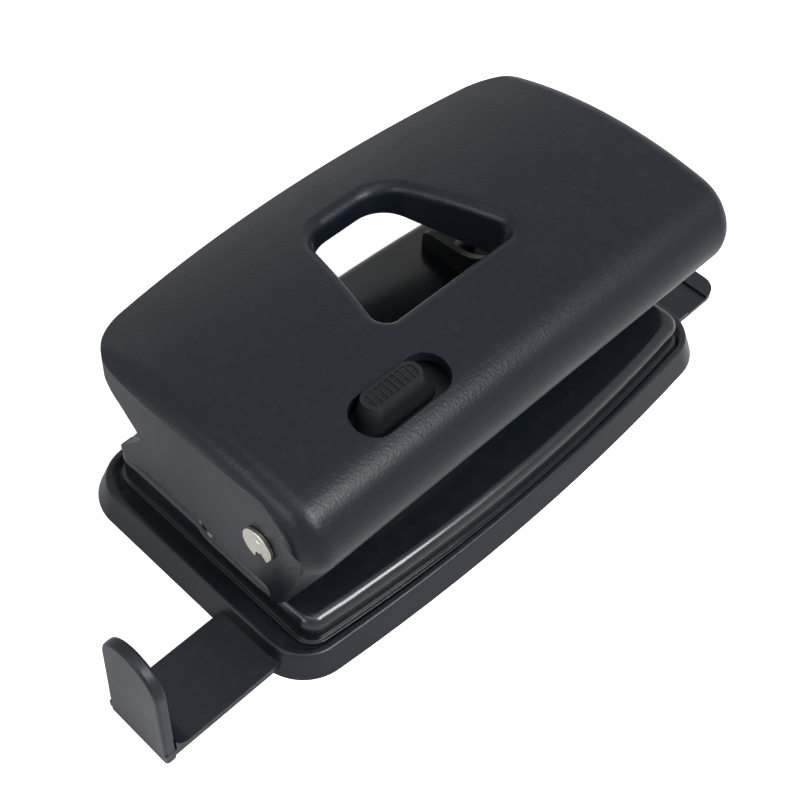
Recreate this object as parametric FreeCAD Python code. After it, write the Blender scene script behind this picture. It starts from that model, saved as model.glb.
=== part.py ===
"""Two-hole desk paper punch, modelled in millimetres.

X runs along the long side, Y from the paper side (front) to the pressed side (rear), Z up.
The origin is the centre of the base, on the table. The pose is the one with the handle down.
"""
import FreeCAD, Part
import math
import os
from FreeCAD import Vector

# Base: chip tray and bed plate
TRAY_HALF_X = 62.5
TRAY_HALF_Y = 36.0
TRAY_BULGE = 3.7
TRAY_CORNER = 10.9
TRAY_RIM_Z = 5.65
TRAY_RIM_INSET = 2.1
TRAY_SHELF_Z = 4.6
TRAY_FLOOR = 1.2
TRAY_WALL = 1.5

PLATE_HALF_X = 55.6
PLATE_FRONT_Y = -31.95
PLATE_REAR_Y = 31.0
PLATE_BULGE = 3.6
PLATE_CORNER = 4.0
PLATE_SHEET = 1.2
PLATE_FLANGE = 0.7
PLATE_LOW_Z = 12.05
PLATE_HIGH_Z = 14.05
PLATE_LIP_RADIUS = 2.4
STEP_FRONT_Y = -0.5
STEP_REAR_Y = 3.0

# Punching line
HOLE_PITCH = 80.0
HOLE_EDGE = 12.0
PUNCH_D = 5.5
PUNCH_Y = -4.6
PUNCH_X = HOLE_PITCH / 2
RUN_CLEAR = 0.05
PUNCH_TIP_Z = 13.45
PUNCH_HEAD_Z = 34.0
PUNCH_HEAD_D = 8.0
PUNCH_TOP_Z = 36.6
PUNCH_DOME_R = 7.0
RING_Z = 28.0
RING_T = 0.7
RING_GROOVE_D = 4.5

DIE_HALF_X = 50.0
DIE_FRONT_Y = -11.5
DIE_REAR_Y = -0.7
DIE_RIVET_X = (-24.0, 0.0, 24.0)
DIE_RIVET_Y = -6.0
RIVET_D = 3.0

# Hinge
HINGE_Y = -17.2
HINGE_Z = 30.5
ROD_D = 4.0
ROD_HALF_X = 58.1
CLIP_OD = 7.4
CLIP_T = 0.9
CLIP_GROOVE_D = 3.2

# Punch brackets, bent from sheet
SHEET = 1.5
BRACKET_HALF_W = 12.0
THROAT = 2.0
WEB_Z = PLATE_HIGH_Z + THROAT
STOP_Y = PUNCH_Y + HOLE_EDGE
WEB_FRONT_Y = -14.0
FOOT_REAR_Y = 24.0
GUIDE_Z = 32.0
GUIDE_T = 1.2
GUIDE_HALF_Y = 5.5
NOSE_LOBE_Y = -23.0
HORN_FRONT_Y, HORN_REAR_Y = -21.35, -20.1
HORN_TOP_Z = 43.0

# Punch springs
SPRING_WIRE = 0.8
SPRING_MEAN_R = 3.9
SPRING_TURNS = 5
SPRING_BOTTOM_Z = WEB_Z + SHEET + 0.05
SPRING_TOP_Z = RING_Z - 0.85

# Handle shell
HANDLE_HALF_X = 59.0
WALL_HALF_X = 57.1
INNER_HALF_X = 54.8
SKIN = 2.2
CROWN_Y, CROWN_Z, CROWN_R = -7.8, -49.9, 101.0
NOSE_Y, NOSE_R = -21.7, 11.0
FRONT_R = 9.6
FRONT_SLANT = 25.0
END_ROUND = 5.0
HANDLE_REAR_Y = 37.2
HANDLE_REAR_BULGE = 7.7
HANDLE_REAR_CORNER = 15.5
FRONT_EDGE_Z = 16.9
FOOT_Z = 14.2
FOOT_X = 51.0
WALL_BOTTOM_Z = 17.6
END_LIP = 4.6

# Opening in the top of the handle
WINDOW_HALF_X = 18.6
WINDOW_REAR_HALF_X = 10.4
WINDOW_FRONT_Y = -8.2
WINDOW_REAR_Y = 21.3
WINDOW_FRONT_R = 3.0
WINDOW_REAR_R = 8.0
WINDOW_RIM_R = 2.4
COLLAR_T = 1.8
COLLAR_Z = 40.2

# Lock slide
SLOT_X, SLOT_Y = -26.9, -21.0
SLOT_HALF = 6.6
SLOT_R = 4.6
SLIDE_Z = 44.6
SLIDE_T = 1.5
SLIDE_X0, SLIDE_X1 = -42.5, -14.2
SLIDE_Y0, SLIDE_Y1 = -25.0, -14.5
PAD_X0, PAD_X1 = -34.3, -20.8
PAD_Y0, PAD_Y1 = -21.8, -17.0
PAD_TOP_Z = 51.8
PAD_CORNER = 2.2
PAD_BORDER = 0.7
PAD_RIBS = 9
PAD_FOOT_X0, PAD_FOOT_X1 = -36.0, -18.3
PAD_FOOT_Y0, PAD_FOOT_Y1 = -23.6, -16.6
PAD_FOOT_CORNER = 3.45
RIB_GROOVE_R = 0.42
LUG_X0, LUG_X1 = -32.3, -30.2
LUG_Y0, LUG_Y1 = -19.9, -18.8
LUG_BOTTOM_Z = 42.2
RETAINER_SCREWS = ((-46.0, -19.0), (-8.5, -19.0))

# Steel lever inside the handle
LEVER_Z = 36.7
LEVER_T = 1.6
LEVER_HALF_X = 54.2
BOSS_PLACES = ((-47.0, -5.0), (-33.0, -5.0), (33.0, -5.0), (47.0, -5.0))

# Paper guide
STRIP_Y0, STRIP_Y1 = -25.9, -9.9
STRIP_Z, STRIP_T = 1.3, 1.8
STRIP_X0, STRIP_X1 = -88.5, 76.5
STRIP_NECK_X, STRIP_NECK = 58.0, 1.5
TAB_T = 2.5
TAB_TOP_Z = 29.5


def polar(centre, radius, degrees):
    """Point of a circle in the YZ plane, as a pair."""
    turn = math.radians(degrees)
    return centre[0] + radius * math.cos(turn), centre[1] + radius * math.sin(turn)


def side_face(start, *steps):
    """Face in the plane X = 0; a step is (end,) for a line or (through, end) for an arc."""
    edges = []
    here = Vector(0, *start)
    for step in steps:
        there = Vector(0, *step[-1])
        if len(step) == 2:
            edges.append(Part.Arc(here, Vector(0, *step[0]), there).toShape())
        else:
            edges.append(Part.LineSegment(here, there).toShape())
        here = there
    first = Vector(0, *start)
    if here.distanceToPoint(first) > 1e-6:
        edges.append(Part.LineSegment(here, first).toShape())
    return Part.Face(Part.Wire(edges))


def along_x(face, x0, x1):
    """Extrude a side face from x0 to x1."""
    moved = face.copy()
    moved.translate(Vector(x0, 0, 0))
    return moved.extrude(Vector(x1 - x0, 0, 0))


def plan_wire(half_x, front_y, rear_y, bulge, corner, inset=0.0, z=0.0):
    """Plan outline with straight ends, bowed front and rear and rounded corners."""
    bow = (half_x ** 2 + bulge ** 2) / (2 * bulge)
    hx = half_x - inset
    r = max(corner - inset, 0.6)
    big = bow - inset
    cx = hx - r
    drop = math.sqrt((big - r) ** 2 - cx ** 2)
    front_c = front_y + bow
    rear_c = rear_y - bow
    yf, yr = front_c - drop, rear_c + drop
    tx = cx * big / (big - r)
    tf, tr = front_c - drop * big / (big - r), rear_c + drop * big / (big - r)

    def corner_mid(sx, cy, ty):
        pull = Vector(sx * (tx - cx) + sx * r, ty - cy, 0)
        pull.normalize()
        return Vector(sx * cx, cy, z) + pull * r

    def p(x, y):
        return Vector(x, y, z)

    edges = [
        Part.Arc(p(-tx, tf), p(0, front_y + inset), p(tx, tf)),
        Part.Arc(p(tx, tf), corner_mid(1, yf, tf), p(hx, yf)),
        Part.LineSegment(p(hx, yf), p(hx, yr)),
        Part.Arc(p(hx, yr), corner_mid(1, yr, tr), p(tx, tr)),
        Part.Arc(p(tx, tr), p(0, rear_y - inset), p(-tx, tr)),
        Part.Arc(p(-tx, tr), corner_mid(-1, yr, tr), p(-hx, yr)),
        Part.LineSegment(p(-hx, yr), p(-hx, yf)),
        Part.Arc(p(-hx, yf), corner_mid(-1, yf, tf), p(-tx, tf)),
    ]
    return Part.Wire([e.toShape() for e in edges])


def up(wire, height):
    """Solid standing on a plan wire."""
    return Part.Face(wire).extrude(Vector(0, 0, height))


def tray_wire(inset, z):
    return plan_wire(TRAY_HALF_X, -TRAY_HALF_Y, TRAY_HALF_Y, TRAY_BULGE, TRAY_CORNER, inset, z)


def plate_wire(inset, z):
    return plan_wire(PLATE_HALF_X, PLATE_FRONT_Y, PLATE_REAR_Y, PLATE_BULGE, PLATE_CORNER, inset, z)


def block(x0, x1, y0, y1, z0, z1):
    return Part.makeBox(x1 - x0, y1 - y0, z1 - z0, Vector(x0, y0, z0))


def disc(x, y, z, d, height):
    return Part.makeCylinder(d / 2, height, Vector(x, y, z))


def across(y, z, d, x0, x1):
    """Round bar along X."""
    return Part.makeCylinder(d / 2, x1 - x0, Vector(x0, y, z), Vector(1, 0, 0))


def both_ends(make):
    """Fuse what make(side) gives for the left and the right end."""
    return make(-1).fuse(make(1))


def end_edges(shape, half_x, keep):
    """Edges in the planes X = -half_x and +half_x whose middle passes keep(y, z)."""
    found = []
    for edge in shape.Edges:
        box = edge.BoundBox
        if box.XLength < 1e-4 and abs(abs(box.XMin) - half_x) < 1e-4:
            mid = edge.valueAt((edge.FirstParameter + edge.LastParameter) / 2)
            if keep(mid.y, mid.z):
                found.append(edge)
    return found


# Chip tray

def chip_tray():
    """Moulded pan: flared outer wall, sunk shelf for the plate, and the guide's channel."""
    body = Part.makeLoft([tray_wire(0, 0), tray_wire(TRAY_RIM_INSET, TRAY_RIM_Z)], True, True)
    crest = [e for e in body.Edges if e.BoundBox.ZMin > TRAY_RIM_Z - 0.01]
    body = body.makeFillet(0.7, crest)
    moat_top = tray_wire(TRAY_RIM_INSET + 1.0, TRAY_RIM_Z + 0.2)
    moat_bottom = plate_wire(-PLATE_FLANGE - 0.2, TRAY_SHELF_Z)
    body = body.cut(Part.makeLoft([moat_bottom, moat_top], True, True))
    well_inset = 2.0
    body = body.cut(up(plate_wire(well_inset, TRAY_FLOOR), 10))
    hollow = up(tray_wire(TRAY_WALL, -1), 4.2).cut(up(plate_wire(well_inset - 1.3, -2), 8))
    body = body.cut(hollow)
    return tray_fittings(body)


def tray_fittings(body):
    """Ribs and hooks beside the paper guide, openings for it, and the snap tongues."""
    slack = 0.1
    rib = 1.2
    well_inset = 2.0
    well_x = PLATE_HALF_X - well_inset
    top = 9.0
    front_rib = block(-well_x, well_x, STRIP_Y0 - slack - rib, STRIP_Y0 - slack, TRAY_FLOOR, top)
    rear_rib = block(-well_x, well_x, STRIP_Y1 + slack, STRIP_Y1 + slack + rib, TRAY_FLOOR, top)
    ribs = front_rib.fuse(rear_rib).common(up(plate_wire(well_inset, 0), top))
    body = body.fuse(ribs)
    lip_z = STRIP_Z + STRIP_T + slack
    for x in (-42.0, 0.0, 42.0):
        body = body.fuse(block(x - 4, x + 4, STRIP_Y0 - slack - 0.4, STRIP_Y0 + 1.2, lip_z, lip_z + 1.2))
        body = body.fuse(block(x - 4, x + 4, STRIP_Y1 - 1.2, STRIP_Y1 + slack + 0.4, lip_z, lip_z + 1.2))
    for x in (-24.0, 24.0):
        body = body.fuse(block(x - 4, x + 4, -28.9, -27.6, TRAY_FLOOR, 10.2))
        body = body.fuse(block(x - 4, x + 4, 27.2, 28.5, TRAY_FLOOR, 11.5))
    channel = block(-70, 70, STRIP_Y0 - slack, STRIP_Y1 + slack, STRIP_Z - 0.05, lip_z)
    return body.cut(channel).removeSplitter()


# Bed plate

def step_profile(low, high, floor):
    """Side view of the plate: a low front, an S-shaped rise and a high rear."""
    mid_y, mid_z = (STEP_FRONT_Y + STEP_REAR_Y) / 2, (low + high) / 2
    run, rise = (STEP_REAR_Y - STEP_FRONT_Y) / 2, (high - low) / 2
    r = (run ** 2 + rise ** 2) / (2 * rise)
    half = math.degrees(math.asin(run / r)) / 2
    lower = polar((STEP_FRONT_Y, low + r), r, -90 + half)
    upper = polar((STEP_REAR_Y, high - r), r, 90 + half)
    return side_face((-50, low), ((STEP_FRONT_Y, low),), (lower, (mid_y, mid_z)),
                     (upper, (STEP_REAR_Y, high)), ((50, high),), ((50, floor),), ((-50, floor),))


def plate_block(inset, drop, floor, lip):
    """Closed body of the plate, drawn in by inset on the sides and lowered by drop on top."""
    body = along_x(step_profile(PLATE_LOW_Z - drop, PLATE_HIGH_Z - drop, floor), -80, 80)
    body = body.common(up(plate_wire(inset, floor - 1), 30))
    rim = []
    for edge in body.Edges:
        box = edge.BoundBox
        on_top = box.ZMin > PLATE_LOW_Z - drop - 0.01
        crossing = box.YLength < 4 and box.XLength > 90 and box.ZLength < 0.01 and abs(box.Center.y) < 10
        vertical = box.XLength < 0.01 and box.YLength < 0.01
        if on_top and not crossing and not vertical:
            rim.append(edge)
    return body.makeFillet(lip, rim)


def bed_plate():
    """Pressed plate with a rolled edge, skirts and a narrow foot flange."""
    outer = plate_block(0, 0, TRAY_SHELF_Z, PLATE_LIP_RADIUS)
    inner = plate_block(PLATE_SHEET, PLATE_SHEET, TRAY_SHELF_Z - 1, PLATE_LIP_RADIUS - PLATE_SHEET)
    flange = up(plate_wire(-PLATE_FLANGE, TRAY_SHELF_Z), PLATE_SHEET)
    plate = outer.fuse(flange).cut(inner)
    for x in (-PUNCH_X, PUNCH_X):
        plate = plate.cut(disc(x, PUNCH_Y, PLATE_LOW_Z - 5, PUNCH_D + 1.4, 8))
    for x, y in rivet_places():
        plate = plate.cut(disc(x, y, PLATE_LOW_Z - 4, 3.0, 8))
    for x in DIE_RIVET_X:
        plate = plate.cut(disc(x, DIE_RIVET_Y, PLATE_LOW_Z - 4, 3.0, 8))
    return plate.removeSplitter()


# Die strip and rivets

def die_strip():
    """Hardened strip under the punches, flush with the high part of the plate."""
    low, high = PLATE_LOW_Z, PLATE_HIGH_Z
    lead = 1.6
    section = side_face((DIE_FRONT_Y, low), ((DIE_REAR_Y, low),), ((DIE_REAR_Y, high),),
                        ((DIE_FRONT_Y + lead, high),), ((DIE_FRONT_Y, low + 0.5),))
    strip = along_x(section, -DIE_HALF_X, DIE_HALF_X)
    strip = strip.makeFillet(2.0, [e for e in strip.Edges if is_upright_corner(e, DIE_HALF_X)])
    for x in (-PUNCH_X, PUNCH_X):
        strip = strip.cut(disc(x, PUNCH_Y, low - 1, PUNCH_D + 2 * RUN_CLEAR, 5))
        relief = Part.makeCone(PUNCH_D / 2 + 0.7, PUNCH_D / 2, 0.8, Vector(x, PUNCH_Y, low))
        strip = strip.cut(relief)
    for x in DIE_RIVET_X:
        strip = strip.cut(disc(x, DIE_RIVET_Y, low - 1, RIVET_D, 5))
        strip = strip.cut(Part.makeCone(RIVET_D / 2, RIVET_D / 2 + 1, 1, Vector(x, DIE_RIVET_Y, high - 1)))
    return strip


def is_upright_corner(edge, half_x):
    box = edge.BoundBox
    on_end = abs(abs(box.Center.x) - half_x) < 0.01
    return on_end and box.YLength < 0.01 and box.ZLength > 1.0


def die_rivets():
    """Countersunk rivets, closed under the plate."""
    tail_z = PLATE_LOW_Z - PLATE_SHEET
    made = []
    for x in DIE_RIVET_X:
        shank = disc(x, DIE_RIVET_Y, tail_z, RIVET_D, PLATE_HIGH_Z - tail_z)
        head = Part.makeCone(RIVET_D / 2, RIVET_D / 2 + 1, 1, Vector(x, DIE_RIVET_Y, PLATE_HIGH_Z - 1))
        tail = Part.makeCone(1.6, 2.4, 1.0, Vector(x, DIE_RIVET_Y, tail_z - 1.0))
        made.append(shank.fuse([head, tail]).removeSplitter())
    return Part.makeCompound(made)


def rivet_places():
    """Centres of the rivets through the feet of the two brackets."""
    spots = []
    for side in (-1, 1):
        for offset in (-6.5, 6.5):
            spots.append((side * PUNCH_X + offset, 16.5))
    return spots


def bracket_rivets():
    """Domed rivets through the bracket feet and the plate."""
    foot_top = PLATE_HIGH_Z + SHEET
    tail_z = PLATE_HIGH_Z - PLATE_SHEET
    made = []
    for x, y in rivet_places():
        dome = Part.makeSphere(3.1, Vector(x, y, foot_top - 1.6))
        dome = dome.common(block(x - 4, x + 4, y - 4, y + 4, foot_top, foot_top + 4))
        shank = disc(x, y, tail_z, RIVET_D, foot_top - tail_z)
        tail = Part.makeCone(1.6, 2.4, 1.0, Vector(x, y, tail_z - 1.0))
        made.append(shank.fuse([dome, tail]).removeSplitter())
    return Part.makeCompound(made)


# Punch brackets

def cheek_face():
    """Side view of a bracket cheek: foot, throat for the paper, punch tower and hinge lobe."""
    boss = 5.5
    hub = (HINGE_Y, HINGE_Z)
    nose = (NOSE_LOBE_Y, HINGE_Z)
    nose_r = 3.2
    top = GUIDE_Z + GUIDE_T + 1.2
    return side_face(
        (FOOT_REAR_Y, PLATE_HIGH_Z),
        ((FOOT_REAR_Y, PLATE_HIGH_Z + 3.0),),
        (((FOOT_REAR_Y - 0.6), PLATE_HIGH_Z + 4.4), (FOOT_REAR_Y - 2.0, PLATE_HIGH_Z + 5.0)),
        ((13.0, 20.0),),
        ((6.9, 23.2), (3.8, 29.4)),
        ((2.8, top - 1.5),),
        ((2.2, top - 0.4), (1.0, top)),
        ((-12.4, top),),
        (polar(hub, boss, 70), polar(hub, boss, 100)),
        (polar(nose, nose_r, 100),),
        (polar(nose, nose_r, 180), polar(nose, nose_r, 262)),
        ((-18.6, 22.6),),
        ((WEB_FRONT_Y - 0.8, WEB_Z + 0.6),),
        ((WEB_FRONT_Y - 0.4, WEB_Z + 0.1), (WEB_FRONT_Y + 0.4, WEB_Z)),
        ((STOP_Y, WEB_Z),),
        ((STOP_Y, PLATE_HIGH_Z),),
    )


def horn_face():
    """Side view of the horn on a cheek: broad root and a narrow tip that holds the lock's lug."""
    shoulder_z = 41.2
    return side_face(
        (-22.4, 32.0),
        ((-22.4, 37.0),),
        ((HORN_FRONT_Y, shoulder_z),),
        ((HORN_FRONT_Y, HORN_TOP_Z - 0.3),),
        ((HORN_FRONT_Y + 0.3, HORN_TOP_Z),),
        ((HORN_REAR_Y - 0.3, HORN_TOP_Z),),
        ((HORN_REAR_Y, HORN_TOP_Z - 0.3),),
        ((HORN_REAR_Y, shoulder_z),),
        ((-14.6, 33.5),),
        ((-14.6, 32.0),),
    )


def bracket(side):
    """One bent bracket: stepped web between two cheeks; the left one carries the lock's horn."""
    x0, x1 = side * PUNCH_X - BRACKET_HALF_W, side * PUNCH_X + BRACKET_HALF_W
    cheeks = along_x(cheek_face(), x0, x0 + SHEET).fuse(along_x(cheek_face(), x1 - SHEET, x1))
    for x, y0, y1 in ((x0, -9.6, -4.6), (x0, -1.6, 0.4)):
        slot = block(x0 - 1, x1 + 1, y0, y1, GUIDE_Z, GUIDE_Z + GUIDE_T)
        cheeks = cheeks.cut(slot)
    web = block(x0, x1, WEB_FRONT_Y, STOP_Y + SHEET, WEB_Z, WEB_Z + SHEET)
    flare = along_x(side_face((WEB_FRONT_Y + 0.1, WEB_Z), ((WEB_FRONT_Y + 0.1, WEB_Z + SHEET),),
                              ((WEB_FRONT_Y - 1.0, WEB_Z + SHEET + 0.6),),
                              ((WEB_FRONT_Y - 0.9, WEB_Z + 0.5),)), x0, x1)
    riser = block(x0, x1, STOP_Y, STOP_Y + SHEET, PLATE_HIGH_Z, WEB_Z + SHEET)
    foot = block(x0, x1, STOP_Y, FOOT_REAR_Y, PLATE_HIGH_Z, PLATE_HIGH_Z + SHEET)
    body = cheeks.fuse([web, flare, riser, foot])
    if side < 0:
        body = body.fuse(along_x(horn_face(), x1 - SHEET, x1))
    body = body.cut(disc(side * PUNCH_X, PUNCH_Y, WEB_Z - 1, PUNCH_D + 2 * RUN_CLEAR, 4))
    body = body.cut(across(HINGE_Y, HINGE_Z, ROD_D, x0 - 1, x1 + 1))
    for x, y in rivet_places():
        body = body.cut(disc(x, y, PLATE_HIGH_Z - 1, RIVET_D, 4))
    return body.removeSplitter()


def punch_guide(side):
    """Upper guide plate of a punch, held by tabs in the slots of the cheeks."""
    centre = side * PUNCH_X
    inner = BRACKET_HALF_W - SHEET
    y0, y1 = PUNCH_Y - GUIDE_HALF_Y - 0.5, PUNCH_Y + GUIDE_HALF_Y + 0.5
    plate = block(centre - inner, centre + inner, y0, y1, GUIDE_Z, GUIDE_Z + GUIDE_T)
    for tab_y0, tab_y1 in ((-9.6, -4.6), (-1.6, 0.4)):
        plate = plate.fuse(block(centre - BRACKET_HALF_W, centre + BRACKET_HALF_W, tab_y0, tab_y1,
                                 GUIDE_Z, GUIDE_Z + GUIDE_T))
    hole = disc(centre, PUNCH_Y, GUIDE_Z - 1, PUNCH_D + 2 * RUN_CLEAR, 4)
    return plate.cut(hole).removeSplitter()


# Hinge rod and its clips

def hinge_rod():
    """Rod through the handle, the lever and both brackets, grooved near its ends."""
    rod = across(HINGE_Y, HINGE_Z, ROD_D, -ROD_HALF_X, ROD_HALF_X)
    rod = rod.makeChamfer(0.3, [e for e in rod.Edges if e.BoundBox.XLength < 1e-4])
    for side in (-1, 1):
        x = side * (WALL_HALF_X + RUN_CLEAR + CLIP_T / 2)
        ring = across(HINGE_Y, HINGE_Z, ROD_D + 2, x - CLIP_T / 2, x + CLIP_T / 2)
        ring = ring.cut(across(HINGE_Y, HINGE_Z, CLIP_GROOVE_D, x - 1, x + 1))
        rod = rod.cut(ring)
    return rod


def e_clip(side):
    """Retaining clip: flat ring with a mouth that widens toward the lower front."""
    x0 = side * WALL_HALF_X + (RUN_CLEAR if side > 0 else -RUN_CLEAR - CLIP_T)
    ring = across(HINGE_Y, HINGE_Z, CLIP_OD, x0, x0 + CLIP_T)
    ring = ring.cut(across(HINGE_Y, HINGE_Z, CLIP_GROOVE_D, x0 - 1, x0 + 2))
    mouth, half_mouth = -109.0, 25.0
    centre = (HINGE_Y, HINGE_Z)
    gap = side_face(centre, (polar(centre, CLIP_OD, mouth - half_mouth),),
                    (polar(centre, CLIP_OD, mouth + half_mouth),))
    return ring.cut(along_x(gap, x0 - 1, x0 + 2))


# Punches

def punch_pin(side):
    """Punch: hollow-ground tip, ring groove and domed head."""
    x = side * PUNCH_X
    pin = disc(x, PUNCH_Y, PUNCH_TIP_Z, PUNCH_D, PUNCH_HEAD_Z - PUNCH_TIP_Z)
    hollow = across(PUNCH_Y, PUNCH_TIP_Z - 2.6, 6.6, x - 4, x + 4)
    pin = pin.cut(hollow)
    groove = disc(x, PUNCH_Y, RING_Z, PUNCH_D + 1, RING_T)
    pin = pin.cut(groove.cut(disc(x, PUNCH_Y, RING_Z - 1, RING_GROOVE_D, 3)))
    head = disc(x, PUNCH_Y, PUNCH_HEAD_Z, PUNCH_HEAD_D, PUNCH_TOP_Z - PUNCH_HEAD_Z)
    dome = Part.makeSphere(PUNCH_DOME_R, Vector(x, PUNCH_Y, PUNCH_TOP_Z - PUNCH_DOME_R))
    return pin.fuse(head.common(dome)).removeSplitter()


def punch_ring(side):
    """Washer and snap ring that carry the spring's push to the punch."""
    x = side * PUNCH_X
    washer = disc(x, PUNCH_Y, RING_Z - 0.8, 9.6, 0.8).cut(disc(x, PUNCH_Y, RING_Z - 2, PUNCH_D, 4))
    ring = disc(x, PUNCH_Y, RING_Z, 8.2, RING_T).cut(disc(x, PUNCH_Y, RING_Z - 1, RING_GROOVE_D, 3))
    mouth = block(x - 1.6, x + 1.6, PUNCH_Y - 6, PUNCH_Y - 0.6, RING_Z, RING_Z + RING_T)
    ring = ring.cut(mouth.cut(disc(x, PUNCH_Y, RING_Z - 1, RING_GROOVE_D, 3)))
    return washer.fuse(ring).removeSplitter()


# Springs

def biarc(p0, t0, p1, t1):
    """Two tangent arcs from p0 to p1 that keep the end directions t0 and t1."""
    span = p1 - p0
    a = 2 * (t0.dot(t1) - 1)
    b = -2 * span.dot(t0 + t1)
    c = span.dot(span)
    reach = (-b - math.sqrt(b * b - 4 * a * c)) / (2 * a)
    join = (p0 + p1 + (t0 - t1) * reach) * 0.5
    return [tangent_arc(p0, t0, join), tangent_arc(p1, t1 * -1, join)]


def tangent_arc(start, direction, end):
    """Arc from start, leaving along direction, to end."""
    chord = end - start
    unit = chord * (1 / chord.Length)
    side = direction - unit * direction.dot(unit)
    side.normalize()
    angle = direction.getAngle(chord)
    mid = (start + end) * 0.5 + side * (chord.Length / 2 * math.tan(angle / 2))
    return Part.Arc(start, mid, end).toShape()


def coil_point(x, turn, z0, pitch):
    """Point and direction of the coil's centre line after a number of turns."""
    angle = 2 * math.pi * turn
    point = Vector(x + SPRING_MEAN_R * math.cos(angle), PUNCH_Y + SPRING_MEAN_R * math.sin(angle),
                   z0 + pitch * turn)
    rise = pitch / (2 * math.pi)
    way = Vector(-SPRING_MEAN_R * math.sin(angle), SPRING_MEAN_R * math.cos(angle), rise)
    way.normalize()
    return point, way


def punch_spring(side):
    """Return spring round a punch, one unbroken wire between bracket web and washer."""
    x = side * PUNCH_X
    lean = 0.03
    z0, z1 = SPRING_BOTTOM_Z + SPRING_WIRE / 2 + lean, SPRING_TOP_Z - SPRING_WIRE / 2 - lean
    pitch = (z1 - z0) / SPRING_TURNS
    steps = 4 * SPRING_TURNS
    places = [coil_point(x, i / 4, z0, pitch) for i in range(steps + 1)]
    first, last = places[0], places[-1]
    lead_in, lead_out = first[0] - first[1] * SPRING_WIRE, last[0] + last[1] * SPRING_WIRE
    edges = [Part.LineSegment(lead_in, first[0]).toShape()]
    for here, there in zip(places, places[1:]):
        first_arc, second_arc = biarc(here[0], here[1], there[0], there[1])
        edges.extend([first_arc, second_arc])
    edges.append(Part.LineSegment(last[0], lead_out).toShape())
    path = Part.Wire(Part.sortEdges(edges)[0])
    section = Part.Wire([Part.makeCircle(SPRING_WIRE / 2, lead_in, first[1])])
    tube = path.makePipeShell([section], True, False)
    print("spring: gap", round(coil_gap(x, z0, pitch), 2), "mm, volume ratio",
          round(tube.Volume / (path.Length * math.pi * (SPRING_WIRE / 2) ** 2), 3))
    return tube


def coil_gap(x, z0, pitch):
    """Least gap of the wire to itself, from points of the centre line half a turn apart or more."""
    count = 48 * SPRING_TURNS
    points = [coil_point(x, i / 48, z0, pitch)[0] for i in range(count + 1)]
    least = min(a.distanceToPoint(b) for i, a in enumerate(points) for b in points[i + 24:])
    return least - SPRING_WIRE


# Handle

def crown_height(y, offset=0.0):
    """Height of the handle's top at y, for a surface drawn in by offset."""
    return CROWN_Z + math.sqrt((CROWN_R - offset) ** 2 - (y - CROWN_Y) ** 2)


def handle_block(offset, half_x, rounding, bottom):
    """Closed body of the handle, drawn in by offset: crown, nose and slanted front wall."""
    crown = (CROWN_Y, CROWN_Z)
    nose_z = CROWN_Z + math.sqrt((CROWN_R - NOSE_R) ** 2 - (CROWN_Y - NOSE_Y) ** 2)
    nose = (NOSE_Y, nose_z)
    front = (NOSE_Y - NOSE_R + FRONT_R, nose_z)
    meet = math.degrees(math.atan2(nose_z - CROWN_Z, NOSE_Y - CROWN_Y))
    rear_y = 40.0
    rear = (rear_y, crown_height(rear_y, offset))
    front_r = FRONT_R - offset
    low_turn = 180 + FRONT_SLANT
    low = polar(front, front_r, low_turn)
    foot_y = low[0] + (low[1] - bottom) * math.tan(math.radians(FRONT_SLANT))
    face = side_face(
        rear,
        ((8.0, crown_height(8.0, offset)), polar(crown, CROWN_R - offset, meet)),
        (polar(nose, NOSE_R - offset, (meet + 180) / 2), polar(nose, NOSE_R - offset, 180)),
        (polar(front, front_r, (180 + low_turn) / 2), low),
        ((foot_y, bottom),),
        ((rear_y, bottom),),
    )
    body = along_x(face, -half_x, half_x)

    def rounded(y, z):
        return z > bottom + 0.1 and y < rear_y - 0.1

    return body.makeFillet(rounding, end_edges(body, half_x, rounded))


def wall_cutter(side):
    """What the end wall leaves open below and behind, seen from the side."""
    lip_rear = (42.0, crown_height(42.0, SKIN + 0.3))
    lip_mid = (33.5, crown_height(33.5, (SKIN + 0.3 + END_LIP) / 2))
    lip_start = (25.0, crown_height(25.0, END_LIP))
    face = side_face(
        (-19.4, 8.0),
        ((-19.4, 15.6),),
        ((-18.8, 17.0), (-17.4, WALL_BOTTOM_Z)),
        ((-3.6, WALL_BOTTOM_Z),),
        ((-2.2, 17.9), (-1.2, 18.5)),
        ((-0.2, 19.0), (1.0, 19.2)),
        ((14.5, 19.0),),
        ((17.4, 18.4), (19.8, 17.5)),
        ((22.7, 19.0), (21.6, 21.9)),
        ((16.9, 27.3),),
        ((16.2, 28.8), (16.8, 30.4)),
        ((21.3, 34.8),),
        ((23.9, 37.6), lip_start),
        (lip_mid, lip_rear),
        ((42.0, 8.0),),
    )
    x0, x1 = (INNER_HALF_X - 0.8, 64.0) if side > 0 else (-64.0, -INNER_HALF_X + 0.8)
    return along_x(face, x0, x1)


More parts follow.
